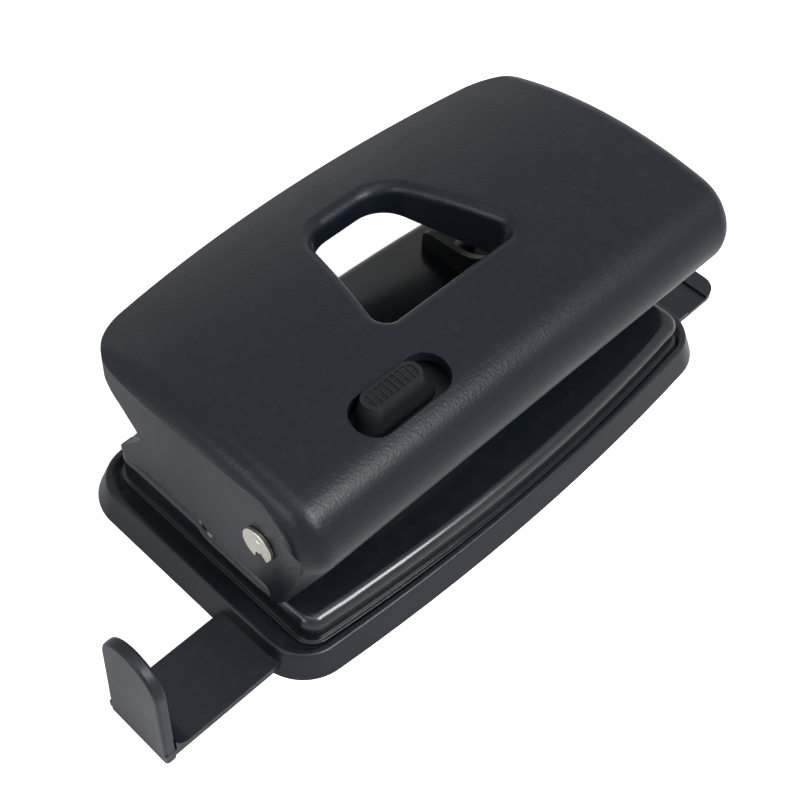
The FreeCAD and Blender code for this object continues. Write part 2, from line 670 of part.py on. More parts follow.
def crease_cutter(side):
    """Sinks the end wall below the rounded top edge, fading out toward the front corner."""
    face = side_face(
        (45.0, 43.2),
        ((25.0, 44.5),),
        ((3.0, 46.1), (-18.8, 47.3)),
        ((-23.4, 45.2), (-25.9, 40.9)),
        ((-45.0, 34.0),),
        ((-45.0, 5.0),),
        ((45.0, 5.0),),
    )
    sheet = along_x(face, 50, 66)
    fade_y, end_y = -21.5, -30.5
    mid_y = (fade_y + end_y) / 2
    fade_r = (fade_y - end_y) ** 2 / (2 * (HANDLE_HALF_X + 0.05 - WALL_HALF_X))
    mid_x = WALL_HALF_X + (fade_y - mid_y) ** 2 / (2 * fade_r)
    a, b = Vector(WALL_HALF_X, 60, 0), Vector(WALL_HALF_X, fade_y, 0)
    c, d = Vector(HANDLE_HALF_X + 0.05, end_y, 0), Vector(HANDLE_HALF_X + 0.05, -60, 0)
    e, f = Vector(70, -60, 0), Vector(70, 60, 0)
    edges = [Part.LineSegment(a, b).toShape(), Part.Arc(b, Vector(mid_x, mid_y, 0), c).toShape(),
             Part.LineSegment(c, d).toShape(), Part.LineSegment(d, e).toShape(),
             Part.LineSegment(e, f).toShape(), Part.LineSegment(f, a).toShape()]
    cutter = sheet.common(up(Part.Wire(edges), 80))
    return cutter if side > 0 else cutter.mirror(Vector(0, 0, 0), Vector(1, 0, 0))


def front_gap():
    """Raises the front wall's lower edge between the two corner feet."""
    slope = 1.6
    z0, z1 = FOOT_Z - 3, FRONT_EDGE_Z
    x0, x1 = FOOT_X + 0.4, FOOT_X - slope
    points = [Vector(-x0, -40, z0), Vector(-x0, -40, FOOT_Z + 0.6), Vector(-x1, -40, z1),
              Vector(x1, -40, z1), Vector(x0, -40, FOOT_Z + 0.6), Vector(x0, -40, z0)]
    wire = Part.makePolygon(points + [points[0]])
    gap = Part.Face(wire).extrude(Vector(0, 24, 0))
    bends = [e for e in gap.Edges if e.BoundBox.YLength > 20 and abs(e.BoundBox.Center.z - z1) < 0.01]
    return gap.makeFillet(1.6, bends)


def window_wire(grow, z):
    """Outline of the opening in the handle's top: straight front, arched rear."""
    xf, xr = WINDOW_HALF_X + grow, WINDOW_REAR_HALF_X + grow
    yf, yr = WINDOW_FRONT_Y - grow, WINDOW_REAR_Y + grow
    corners = [Vector(-xf, yf, z), Vector(xf, yf, z), Vector(xr, yr, z), Vector(-xr, yr, z)]
    return Part.makePolygon(corners + [corners[0]])


def window_block(grow, z0, z1):
    """Upright body over the opening's outline."""
    body = up(window_wire(grow, z0), z1 - z0)
    upright = [e for e in body.Edges if e.BoundBox.ZLength > 1]
    front = [e for e in upright if e.BoundBox.Center.y < 0]
    body = body.makeFillet(WINDOW_FRONT_R + grow, front)
    rear = [e for e in body.Edges if e.BoundBox.ZLength > 1 and e.BoundBox.Center.y > 15]
    return body.makeFillet(WINDOW_REAR_R + grow, rear)


def lock_slot(grow, z0, z1):
    """Stadium over the lock slide."""
    r = SLOT_R + grow
    left, right = SLOT_X - SLOT_HALF, SLOT_X + SLOT_HALF
    body = block(left, right, SLOT_Y - r, SLOT_Y + r, z0, z1)
    return body.fuse([disc(left, SLOT_Y, z0, 2 * r, z1 - z0), disc(right, SLOT_Y, z0, 2 * r, z1 - z0)])


def handle_insides(inside):
    """Bosses, pressing ribs, stiffening ribs and the collar of the opening, up to the skin."""
    lever_top = LEVER_Z + LEVER_T
    pieces = [window_block(COLLAR_T, COLLAR_Z, 54)]
    for x, y in BOSS_PLACES:
        pieces.append(disc(x, y, lever_top, 6.0, 20))
    for x, y in RETAINER_SCREWS:
        pieces.append(disc(x, y, SLIDE_Z - 0.15, 5.4, 20))
    for side in (-1, 1):
        x = side * PUNCH_X
        pieces.append(block(x - 1.0, x + 1.0, -10.5, 2.0, lever_top, 60))
        for at in (30.0, 45.0):
            rib = side_face((3.5, 41.5), ((3.5, 52),), ((30.0, 52),), ((30.0, crown_height(30.0, SKIN + 2)),),
                            ((17.0, crown_height(17.0, SKIN + 4)), (3.5, 41.5)))
            pieces.append(along_x(rib, side * at - 0.7, side * at + 0.7))
    return [piece.common(inside) for piece in pieces]


def handle_shell():
    """Moulded handle: crowned top, rounded nose, sunk end walls, opening and lock slot."""
    outer = handle_block(0, HANDLE_HALF_X, END_ROUND, FOOT_Z)
    rear_plan = up(plan_wire(HANDLE_HALF_X, -90, HANDLE_REAR_Y, HANDLE_REAR_BULGE, HANDLE_REAR_CORNER), 80)
    outer = outer.common(rear_plan)
    inner = handle_block(SKIN, INNER_HALF_X, 2.4, FOOT_Z - 2)
    shell = outer.cut(inner)
    inside = handle_block(SKIN / 2, INNER_HALF_X + 1, 3.4, FOOT_Z - 2).common(rear_plan)
    shell = shell.fuse(handle_insides(inside))
    for side in (-1, 1):
        shell = shell.cut(wall_cutter(side)).cut(crease_cutter(side))
    shell = shell.cut(front_gap())
    shell = shell.cut(window_block(0, 30, 60))
    shell = shell.cut(lock_slot(0, 40, 60))
    shell = shell.cut(across(HINGE_Y, HINGE_Z, ROD_D + 2 * RUN_CLEAR, -70, 70))
    for x, y in BOSS_PLACES:
        shell = shell.cut(disc(x, y, LEVER_Z, 2.4, 8))
    for x, y in RETAINER_SCREWS:
        shell = shell.cut(disc(x, y, SLIDE_Z - 1, 1.8, 4.5))
    shell = shell.removeSplitter()
    return rolled_window_rim(shell)


def rolled_window_rim(shell):
    """Rounds the rear and side rim of the opening, and leaves its front rim crisp."""
    rim = []
    for edge in shell.Edges:
        box = edge.BoundBox
        close = abs(box.Center.x) < 20 and WINDOW_FRONT_Y + 1 < box.YMax < WINDOW_REAR_Y + 1
        top = box.ZMax > crown_height(box.YMax) - 0.3 and box.ZMin > crown_height(box.YMax) - 1.0
        if close and top and box.YMin > WINDOW_FRONT_Y - 1 and box.YLength + box.XLength > 3:
            rim.append(edge)
    return shell.makeFillet(WINDOW_RIM_R, rim)


def inner_lever():
    """Steel lever: folded arms on the hinge rod and pads over the two punches."""
    top = LEVER_Z + LEVER_T
    wide = both_ends(lambda side: block(min(side * 31, side * LEVER_HALF_X), max(side * 31, side * LEVER_HALF_X),
                                        -13.0, 2.6, LEVER_Z, top))
    narrow = block(-32, 32, -13.0, -9.0, LEVER_Z, top)
    hub = (HINGE_Y, HINGE_Z)
    arm_r = 4.6
    arm = side_face((2.6, top), ((2.6, LEVER_Z - 1.2),), ((-6.0, 33.0),),
                    (polar(hub, arm_r, -40),), (polar(hub, arm_r, -150), polar(hub, arm_r, 120)),
                    ((-15.5, top),))
    arms = both_ends(lambda side: along_x(arm, min(side * (LEVER_HALF_X - LEVER_T), side * LEVER_HALF_X),
                                          max(side * (LEVER_HALF_X - LEVER_T), side * LEVER_HALF_X)))
    lever = wide.fuse([narrow, arms])
    lever = lever.cut(across(HINGE_Y, HINGE_Z, ROD_D + 2 * RUN_CLEAR, -70, 70))
    for x, y in BOSS_PLACES:
        lever = lever.cut(disc(x, y, LEVER_Z - 1, 2.8, 4))
    return lever.removeSplitter()


def pan_screw(x, y, z, length, head_d=4.6):
    """Pan-head screw put in from below, head under z."""
    head = disc(x, y, z - 1.2, head_d, 1.2)
    head = head.makeFillet(0.5, [e for e in head.Edges if e.BoundBox.ZMax < z - 1.1])
    cross = block(x - 1.2, x + 1.2, y - 0.3, y + 0.3, z - 1.3, z - 0.6)
    other = block(x - 0.3, x + 0.3, y - 1.2, y + 1.2, z - 1.3, z - 0.6)
    return head.cut(cross.fuse(other)).fuse(disc(x, y, z, 2.4 if head_d > 4 else 1.8, length))


def lever_screws():
    return Part.makeCompound([pan_screw(x, y, LEVER_Z, 7.0) for x, y in BOSS_PLACES])


# Lock slide

def rounded_plan(x0, x1, y0, y1, r, z):
    """Rectangle with rounded corners, as a wire at height z."""
    k = r * (1 - math.sqrt(0.5))
    edges = [
        Part.LineSegment(Vector(x0 + r, y0, z), Vector(x1 - r, y0, z)),
        Part.Arc(Vector(x1 - r, y0, z), Vector(x1 - k, y0 + k, z), Vector(x1, y0 + r, z)),
        Part.LineSegment(Vector(x1, y0 + r, z), Vector(x1, y1 - r, z)),
        Part.Arc(Vector(x1, y1 - r, z), Vector(x1 - k, y1 - k, z), Vector(x1 - r, y1, z)),
        Part.LineSegment(Vector(x1 - r, y1, z), Vector(x0 + r, y1, z)),
        Part.Arc(Vector(x0 + r, y1, z), Vector(x0 + k, y1 - k, z), Vector(x0, y1 - r, z)),
        Part.LineSegment(Vector(x0, y1 - r, z), Vector(x0, y0 + r, z)),
        Part.Arc(Vector(x0, y0 + r, z), Vector(x0 + k, y0 + k, z), Vector(x0 + r, y0, z)),
    ]
    return Part.Wire([edge.toShape() for edge in edges])


def thumb_pad(foot_z):
    """Pad that narrows upward, with rib grooves inside a plain border."""
    foot = rounded_plan(PAD_FOOT_X0, PAD_FOOT_X1, PAD_FOOT_Y0, PAD_FOOT_Y1, PAD_FOOT_CORNER, foot_z)
    top = rounded_plan(PAD_X0, PAD_X1, PAD_Y0, PAD_Y1, PAD_CORNER, PAD_TOP_Z)
    pad = Part.makeLoft([foot, top], True, True)
    b = PAD_BORDER
    field = up(rounded_plan(PAD_X0 + b, PAD_X1 - b, PAD_Y0 + b, PAD_Y1 - b, PAD_CORNER - b / 2, PAD_TOP_Z - 1), 2)
    pitch = (PAD_X1 - PAD_X0 - 2 * b) / PAD_RIBS
    for i in range(PAD_RIBS):
        x = PAD_X0 + b + pitch * (i + 0.5)
        groove = Part.makeCylinder(RIB_GROOVE_R, 10, Vector(x, PAD_Y0 - 1, PAD_TOP_Z), Vector(0, 1, 0))
        pad = pad.cut(groove.common(field))
    return pad


def lock_slide():
    """Slide under the skin: ribbed thumb pad above, lug for the bracket's horn below."""
    top = SLIDE_Z + SLIDE_T
    plate = block(SLIDE_X0, SLIDE_X1, SLIDE_Y0, SLIDE_Y1, SLIDE_Z, top)
    plate = plate.makeFillet(2.0, [e for e in plate.Edges if e.BoundBox.ZLength > 1])
    pad = thumb_pad(top)
    lug = block(LUG_X0, LUG_X1, LUG_Y0, LUG_Y1, LUG_BOTTOM_Z, SLIDE_Z + 0.1)
    return plate.fuse([pad, lug]).removeSplitter()


def lock_retainer():
    """Plate under the slide, screwed to two bosses, with a window for the lug and the horn."""
    z0, z1 = SLIDE_Z - 1.5, SLIDE_Z - 0.15
    plate = block(-49.5, -5.0, -25.6, -13.6, z0, z1)
    plate = plate.makeFillet(2.5, [e for e in plate.Edges if e.BoundBox.ZLength > 1])
    window = block(LUG_X0 - 0.6, LUG_X1 + 3.2, HORN_FRONT_Y - 1.2, -16.0, z0 - 1, z1 + 1)
    plate = plate.cut(window)
    for x, y in RETAINER_SCREWS:
        plate = plate.cut(disc(x, y, z0 - 1, 2.2, 4))
    return plate


def retainer_screws():
    return Part.makeCompound([pan_screw(x, y, SLIDE_Z - 1.5, 4.0, 3.8) for x, y in RETAINER_SCREWS])


# Paper guide

def guide_strip_wire(z):
    """Plan outline of the strip: square at the tab, narrowed and rounded at the free end."""
    r = 4.0
    y0, y1 = STRIP_Y0 + STRIP_NECK, STRIP_Y1 - STRIP_NECK
    x0, x1 = STRIP_X0, STRIP_X1
    neck, full = STRIP_NECK_X + 2 * STRIP_NECK, STRIP_NECK_X
    k = r * (1 - math.sqrt(0.5))
    corners = [Vector(x0, STRIP_Y1, z), Vector(x0, STRIP_Y0, z), Vector(full, STRIP_Y0, z),
               Vector(neck, y0, z), Vector(x1 - r, y0, z)]
    back = [Vector(x1 - r, y1, z), Vector(neck, y1, z), Vector(full, STRIP_Y1, z), corners[0]]
    c, d = Vector(x1, y0 + r, z), Vector(x1, y1 - r, z)
    edges = [Part.LineSegment(a, b) for a, b in zip(corners, corners[1:])]
    edges += [Part.Arc(corners[-1], Vector(x1 - k, y0 + k, z), c), Part.LineSegment(c, d),
              Part.Arc(d, Vector(x1 - k, y1 - k, z), back[0])]
    edges += [Part.LineSegment(a, b) for a, b in zip(back, back[1:])]
    return Part.Wire([edge.toShape() for edge in edges])


def paper_guide():
    """Long flat strip with an upright arched tab that the paper's edge meets."""
    strip = up(guide_strip_wire(STRIP_Z), STRIP_T)
    half = (STRIP_Y1 - STRIP_Y0) / 2
    mid = (STRIP_Y0 + STRIP_Y1) / 2
    inset = 0.5
    arch_r = half - inset
    arch_z = TAB_TOP_Z - arch_r
    bottom = 0.3
    arch = side_face((STRIP_Y0, bottom), ((STRIP_Y1, bottom),), ((mid + arch_r, arch_z),),
                     ((mid, TAB_TOP_Z), (mid - arch_r, arch_z)))
    tab = along_x(arch, STRIP_X0, STRIP_X0 + TAB_T)
    crown = [e for e in tab.Edges if e.BoundBox.ZMax > TAB_TOP_Z - 0.1 and e.BoundBox.XLength < 0.01]
    tab = tab.makeFillet(0.7, crown)
    r = 3.5
    x = STRIP_X0 + TAB_T
    z = STRIP_Z + STRIP_T
    a, b, c = Vector(x, STRIP_Y0, z), Vector(x, STRIP_Y0, z + r), Vector(x + r, STRIP_Y0, z)
    k = r * (1 - math.sqrt(0.5))
    fillet = Part.Face(Part.Wire([Part.LineSegment(a, b).toShape(),
                                  Part.Arc(b, Vector(x + k, STRIP_Y0, z + k), c).toShape(),
                                  Part.LineSegment(c, a).toShape()]))
    fillet = fillet.extrude(Vector(0, STRIP_Y1 - STRIP_Y0, 0))
    body = strip.fuse([tab, fillet])
    wedge = [Vector(64.0, -26.5, z - 0.7), Vector(72.0, -26.5, z - 0.7), Vector(72.0, -13.4, z - 0.7)]
    recess = up(Part.makePolygon(wedge + [wedge[0]]), 2)
    return body.cut(recess).removeSplitter()


NODES = {
    "chip_tray": chip_tray,
    "bed_plate": bed_plate,
    "die_strip": die_strip,
    "die_rivets": die_rivets,
    "bracket_left": lambda: bracket(-1),
    "bracket_right": lambda: bracket(1),
    "bracket_rivets": bracket_rivets,
    "punch_guide_left": lambda: punch_guide(-1),
    "punch_guide_right": lambda: punch_guide(1),
    "hinge_rod": hinge_rod,
    "e_clip_left": lambda: e_clip(-1),
    "e_clip_right": lambda: e_clip(1),
    "punch_pin_left": lambda: punch_pin(-1),
    "punch_pin_right": lambda: punch_pin(1),
    "punch_ring_left": lambda: punch_ring(-1),
    "punch_ring_right": lambda: punch_ring(1),
    "punch_spring_left": lambda: punch_spring(-1),
    "punch_spring_right": lambda: punch_spring(1),
    "handle_shell": handle_shell,
    "inner_lever": inner_lever,
    "lever_screws": lever_screws,
    "lock_slide": lock_slide,
    "lock_retainer": lock_retainer,
    "retainer_screws": retainer_screws,
    "paper_guide": paper_guide,
}


def main():
    os.makedirs("parts", exist_ok=True)
    for name, make in NODES.items():
        shape = make()
        box = shape.BoundBox
        print(name, "valid" if shape.isValid() else "INVALID", len(shape.Solids), "solids",
              round(shape.Volume, 1), [round(v, 1) for v in (box.XMin, box.XMax, box.YMin, box.YMax,
                                                             box.ZMin, box.ZMax)])
        shape.exportStep("parts/" + name + ".step")


main()
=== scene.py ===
"""Looks of a two-hole desk paper punch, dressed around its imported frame.

Lengths are in metres in the frame's own axes: X along the long side, Y from the paper side to
the pressed side, Z up, with the origin on the table under the middle of the base. Sizes of the
pieces are fields in millimetres.
"""

import logging
import math
from dataclasses import dataclass, field
from enum import Enum
from typing import Callable, Optional

import bmesh
import bpy
from mathutils import Matrix, Vector


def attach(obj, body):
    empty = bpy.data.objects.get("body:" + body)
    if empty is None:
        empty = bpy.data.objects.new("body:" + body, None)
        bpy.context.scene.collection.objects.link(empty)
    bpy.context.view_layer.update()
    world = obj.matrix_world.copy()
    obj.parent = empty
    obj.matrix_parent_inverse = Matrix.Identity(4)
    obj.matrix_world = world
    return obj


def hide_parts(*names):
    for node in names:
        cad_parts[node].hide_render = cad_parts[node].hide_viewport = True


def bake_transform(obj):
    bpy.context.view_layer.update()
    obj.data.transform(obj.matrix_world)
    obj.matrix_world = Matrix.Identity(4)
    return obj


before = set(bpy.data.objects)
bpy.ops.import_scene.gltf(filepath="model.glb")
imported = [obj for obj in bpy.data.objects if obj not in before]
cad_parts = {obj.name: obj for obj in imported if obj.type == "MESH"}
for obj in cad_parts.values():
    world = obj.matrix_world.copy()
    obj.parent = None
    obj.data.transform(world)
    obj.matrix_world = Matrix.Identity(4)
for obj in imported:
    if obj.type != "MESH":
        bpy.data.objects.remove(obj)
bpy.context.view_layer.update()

LOG = logging.getLogger("paper_punch")
MM = 0.001
DAYLIGHT = (0.97, 0.985, 1.0)
WHITE = (1.0, 1.0, 1.0, 1.0)


class Body(str, Enum):
    """Moving bodies of the punch, as the frame names them."""

    BASE = "base"
    TRAY = "tray"
    GUIDE = "guide"
    HANDLE = "handle"
    LOCK = "lock"
    LEFT_PUNCH = "left_punch"
    RIGHT_PUNCH = "right_punch"


class Side(Enum):
    """Left and right end, with the sign of their X."""

    LEFT = -1
    RIGHT = 1

    @property
    def word(self) -> str:
        """Ending of the node names at this end."""
        return self.name.lower()


# Shader node groups


class Sheet:
    """A node tree with short ways to add nodes and wires."""

    def __init__(self, tree: bpy.types.NodeTree) -> None:
        """Keep the tree."""
        self.tree = tree

    def add(self, kind: str, inputs: Optional[dict] = None, **settings: object) -> bpy.types.Node:
        """Add a node.

        Args:
            kind: Node type, such as ShaderNodeBump.
            inputs: Socket name or number to a plain value or to another node's output.
            settings: Attributes of the node.

        Returns:
            The new node.
        """
        node = self.tree.nodes.new(kind)
        for name, value in settings.items():
            setattr(node, name, value)
        for name, value in (inputs or {}).items():
            self.feed(node.inputs[name], value)
        return node

    def feed(self, socket: bpy.types.NodeSocket, value: object) -> None:
        """Give a socket its source.

        Args:
            socket: Input of a node.
            value: Output of another node, or a plain value.
        """
        if isinstance(value, bpy.types.NodeSocket):
            self.tree.links.new(value, socket)
        else:
            socket.default_value = value

    def math(self, operation: str, *values: object) -> bpy.types.NodeSocket:
        """Add a Math node and return its output."""
        return self.add("ShaderNodeMath", dict(enumerate(values)), operation=operation).outputs[0]

    def spread(self, value: bpy.types.NodeSocket, low: float, high: float,
               from_low: float = 0.0, from_high: float = 1.0) -> bpy.types.NodeSocket:
        """Map a value's range onto low to high and return the output."""
        inputs = {"Value": value, "From Min": from_low, "From Max": from_high, "To Min": low, "To Max": high}
        return self.add("ShaderNodeMapRange", inputs).outputs["Result"]

    def tint(self, share: bpy.types.NodeSocket, under: object, over: object) -> bpy.types.NodeSocket:
        """Mix two colours.

        Args:
            share: How much of the upper colour shows.
            under: Lower colour, plain or wired.
            over: Upper colour, plain or wired.

        Returns:
            The mixed colour.
        """
        mix = self.add("ShaderNodeMix", data_type="RGBA")
        # The node has one set of sockets per data type; inputs 6 and 7 and output 2 are the colours.
        for number, value in ((0, share), (6, under), (7, over)):
            self.feed(mix.inputs[number], value)
        return mix.outputs[2]


class Effects:
    """Shared surface effects, each one shader node group with named sockets."""

    def __init__(self) -> None:
        """Build every group once."""
        self.grain = self._group("moulded_grain", {"Vector": None, "Scale": 2600.0, "Coarseness": 0.5},
                                 "Height", self._grain)
        self.handling = self._group("handling_marks", {"Vector": None, "Scale": 45.0}, "Mask", self._handling)
        self.brushing = self._group("brushed_lines", {"Vector": None, "Scale": 900.0},
                                    "Streak", self._brushing)
        self.dust = self._group("settled_dust", {"Vector": None, "Scale": 420.0, "Amount": 0.3},
                                "Mask", self._dust)
        self.swell = self._group("moulding_swell", {"Vector": None, "Scale": 60.0}, "Height", self._swell)

    @staticmethod
    def _group(name: str, inputs: dict, output: str, fill: Callable) -> bpy.types.NodeTree:
        """Make a group.

        Args:
            name: Name of the group.
            inputs: Socket name to default value, or None for a vector.
            output: Name of the one output.
            fill: Function that wires the sheet and returns the output's source.

        Returns:
            The node group.
        """
        tree = bpy.data.node_groups.new(name, "ShaderNodeTree")
        for socket, value in inputs.items():
            kind = "NodeSocketVector" if value is None else "NodeSocketFloat"
            made = tree.interface.new_socket(socket, in_out="INPUT", socket_type=kind)
            if value is not None:
                made.default_value = value
        tree.interface.new_socket(output, in_out="OUTPUT", socket_type="NodeSocketFloat")
        sheet = Sheet(tree)
        source = sheet.add("NodeGroupInput")
        sheet.add("NodeGroupOutput", {output: fill(sheet, source.outputs)})
        return tree

    @staticmethod
    def _noise(sheet: Sheet, where: bpy.types.NodeSocket, scale: bpy.types.NodeSocket,
               **settings: float) -> bpy.types.NodeSocket:
        """Add a Noise texture and return its value."""
        return sheet.add("ShaderNodeTexNoise", {"Vector": where, "Scale": scale, **settings}).outputs["Fac"]

    @classmethod
    def _grain(cls, sheet: Sheet, given: bpy.types.NodeOutputs) -> bpy.types.NodeSocket:
        """Wire the pebbled grain of an etched mould: rounded cells broken up by noise.

        Args:
            sheet: Sheet of the group.
            given: Outputs of the group's input node.

        Returns:
            The height of the grain.
        """
        cells = sheet.add("ShaderNodeTexVoronoi", {"Vector": given["Vector"], "Scale": given["Scale"]},
                          feature="SMOOTH_F1")
        noise = cls._noise(sheet, given["Vector"], given["Scale"], Detail=2.0, Roughness=0.6)
        soft = sheet.math("MULTIPLY", noise, given["Coarseness"])
        return sheet.math("ADD", cells.outputs["Distance"], soft)

    @classmethod
    def _handling(cls, sheet: Sheet, given: bpy.types.NodeOutputs) -> bpy.types.NodeSocket:
        """Wire wide soft patches where hands have polished or greyed the surface."""
        noise = cls._noise(sheet, given["Vector"], given["Scale"], Detail=4.0, Roughness=0.55, Distortion=0.4)
        return sheet.spread(noise, 0.0, 1.0, from_low=0.3, from_high=0.7)

    @classmethod
    def _brushing(cls, sheet: Sheet, given: bpy.types.NodeOutputs) -> bpy.types.NodeSocket:
        """Wire fine lines along X, from noise stretched forty times."""
        stretched = sheet.add("ShaderNodeMapping", {"Vector": given["Vector"], "Scale": (0.025, 1.0, 1.0)})
        return cls._noise(sheet, stretched.outputs[0], given["Scale"], Detail=3.0, Roughness=0.7)

    @classmethod
    def _dust(cls, sheet: Sheet, given: bpy.types.NodeOutputs) -> bpy.types.NodeSocket:
        """Wire thin specks that lie only on faces that look up.

        Args:
            sheet: Sheet of the group.
            given: Outputs of the group's input node.

        Returns:
            The share of dust.
        """
        normal = sheet.add("ShaderNodeNewGeometry").outputs["Normal"]
        upward = sheet.add("ShaderNodeSeparateXYZ", {0: normal}).outputs["Z"]
        level = sheet.spread(upward, 0.0, 1.0, from_low=0.35, from_high=0.95)
        noise = cls._noise(sheet, given["Vector"], given["Scale"], Detail=5.0, Roughness=0.7)
        specks = sheet.spread(noise, 0.0, 1.0, from_low=0.52, from_high=0.78)
        return sheet.math("MULTIPLY", sheet.math("MULTIPLY", level, specks), given["Amount"])

    @classmethod
    def _swell(cls, sheet: Sheet, given: bpy.types.NodeOutputs) -> bpy.types.NodeSocket:
        """Wire a very shallow waviness, as stoved paint has."""
        return cls._noise(sheet, given["Vector"], given["Scale"], Detail=1.0, Roughness=0.4)

    def place(self, sheet: Sheet, group: bpy.types.NodeTree, **values: float) -> bpy.types.NodeSocket:
        """Put a group on a material's sheet, on Object coordinates.

        Args:
            sheet: Sheet of the material.
            group: One of the groups above.
            values: Socket name to its value in this material.

        Returns:
            The group's output.
        """
        where = sheet.add("ShaderNodeTexCoord").outputs["Object"]
        node = sheet.add("ShaderNodeGroup", node_tree=group)
        sheet.feed(node.inputs["Vector"], where)
        for name, value in values.items():
            sheet.feed(node.inputs[name], value)
        return node.outputs[0]


# Finishes


@dataclass(frozen=True)
class MouldedPlastic:
    """Black moulded plastic with an etched grain.

    Args:
        name: Name of the material.
        colour: Linear colour of the clean plastic.
        polished: Linear colour where hands have rubbed it.
        dusty: Linear colour of the dust.
        roughness: Roughness of the clean plastic.
        spread: How far rubbing lowers and greying raises the roughness.
        hand_scale: Handling patches per metre.
        grain_scale: Cells of the grain per metre.
        grain_depth: Depth of the grain in metres.
        relief: Strength of the grain's bump.
        dust: Share of dust on faces that look up.
        specular: Strength of the surface reflection.
    """

    name: str
    colour: tuple = (0.0040, 0.0060, 0.0095)
    polished: tuple = (0.0052, 0.0075, 0.0115)
    dusty: tuple = (0.30, 0.29, 0.28)
    roughness: float = 0.36
    spread: float = 0.05
    hand_scale: float = 38.0
    grain_scale: float = 1900.0
    grain_depth: float = 0.00005
    relief: float = 0.6
    dust: float = 0.02
    specular: float = 0.20

    def material(self, effects: Effects) -> bpy.types.Material:
        """Build the material.

        Args:
            effects: Shared shader node groups.

        Returns:
            The material.
        """
        made, sheet, shader = principled(self.name)
        hands = effects.place(sheet, effects.handling, Scale=self.hand_scale)
        dust = effects.place(sheet, effects.dust, Amount=self.dust)
        clean = sheet.tint(hands, (*self.colour, 1), (*self.polished, 1))
        colour = sheet.tint(dust, clean, (*self.dusty, 1))
        rough = sheet.spread(hands, self.roughness + self.spread, self.roughness - self.spread)
        grain = effects.place(sheet, effects.grain, Scale=self.grain_scale)
        surface(sheet, shader, colour, rough, grain, self.relief, self.grain_depth)
        shader.inputs["Specular IOR Level"].default_value = self.specular
        return made


@dataclass(frozen=True)
class GlossPaint:
    """Black stoved paint on pressed steel.

    Args:
        name: Name of the material.
        colour: Linear colour of the paint.
        dusty: Linear colour of the dust.
        roughness: Roughness of the paint.
        dulled: How far handling raises the roughness.
        rubbed: How far rubbing lowers the roughness.
        hand_scale: Handling patches per metre.
        dust: Share of dust on faces that look up.
        dust_scale: Specks of dust per metre.
        coat: Weight of the clear top layer.
        coat_roughness: Roughness of the clear top layer.
        specular: Strength of the paint's own reflection.
        swell_scale: Waves of the paint per metre.
        swell_depth: Depth of the paint's waviness in metres.
        relief: Strength of the waviness' bump.
    """

    name: str
    colour: tuple = (0.0050, 0.0068, 0.0100)
    dusty: tuple = (0.22, 0.22, 0.22)
    roughness: float = 0.22
    dulled: float = 0.05
    rubbed: float = 0.04
    hand_scale: float = 55.0
    dust: float = 0.02
    dust_scale: float = 260.0
    coat: float = 0.20
    coat_roughness: float = 0.12
    specular: float = 0.33
    swell_scale: float = 420.0
    swell_depth: float = 0.00004
    relief: float = 0.5

    def material(self, effects: Effects) -> bpy.types.Material:
        """Build the material.

        Args:
            effects: Shared shader node groups.

        Returns:
            The material.
        """
        made, sheet, shader = principled(self.name)
        hands = effects.place(sheet, effects.handling, Scale=self.hand_scale)
        dust = effects.place(sheet, effects.dust, Amount=self.dust, Scale=self.dust_scale)
        colour = sheet.tint(dust, (*self.colour, 1), (*self.dusty, 1))
        rough = sheet.spread(hands, self.roughness + self.dulled, self.roughness - self.rubbed)
        swell = effects.place(sheet, effects.swell, Scale=self.swell_scale)
        surface(sheet, shader, colour, rough, swell, self.relief, self.swell_depth)
        shader.inputs["Coat Weight"].default_value = self.coat
        shader.inputs["Coat Roughness"].default_value = self.coat_roughness
        shader.inputs["Specular IOR Level"].default_value = self.specular
        return made


@dataclass(frozen=True)
class BareMetal:
    """Steel or plating, with brushed lines.

    Args:
        name: Name of the material.
        bright: Linear colour on the crests of the lines.
        dull: Linear colour between them.
        roughness: Mean roughness.
        spread: How far lines and handling move the roughness.
        hand_scale: Handling patches per metre.
        line_scale: Lines per metre.
        line_depth: Depth of the lines in metres.
        relief: Strength of the lines' bump.
    """

    name: str
    bright: tuple = (0.60, 0.60, 0.61)
    dull: tuple = (0.42, 0.42, 0.44)
    roughness: float = 0.32
    spread: float = 0.09
    hand_scale: float = 160.0
    line_scale: float = 1500.0
    line_depth: float = 0.00001
    relief: float = 0.5

    def material(self, effects: Effects) -> bpy.types.Material:
        """Build the material.

        Args:
            effects: Shared shader node groups.

        Returns:
            The material.
        """
        made, sheet, shader = principled(self.name)
        lines = effects.place(sheet, effects.brushing, Scale=self.line_scale)
        hands = effects.place(sheet, effects.handling, Scale=self.hand_scale)
        colour = sheet.tint(lines, (*self.dull, 1), (*self.bright, 1))
        worn = sheet.math("ADD", sheet.math("MULTIPLY", lines, 0.5), sheet.math("MULTIPLY", hands, 0.5))
        smooth, coarse = self.roughness - self.spread, self.roughness + self.spread
        rough = sheet.spread(worn, smooth, coarse, from_low=0.25, from_high=0.75)
        surface(sheet, shader, colour, rough, lines, self.relief, self.line_depth)
        shader.inputs["Metallic"].default_value = 1.0
        return made


def principled(name: str) -> tuple[bpy.types.Material, Sheet, bpy.types.Node]:
    """Start a material.

    Args:
        name: Name of the material.

    Returns:
        The material, its sheet and its Principled node.
    """
    made = bpy.data.materials.new(name)
    made.use_nodes = True
    return made, Sheet(made.node_tree), made.node_tree.nodes["Principled BSDF"]


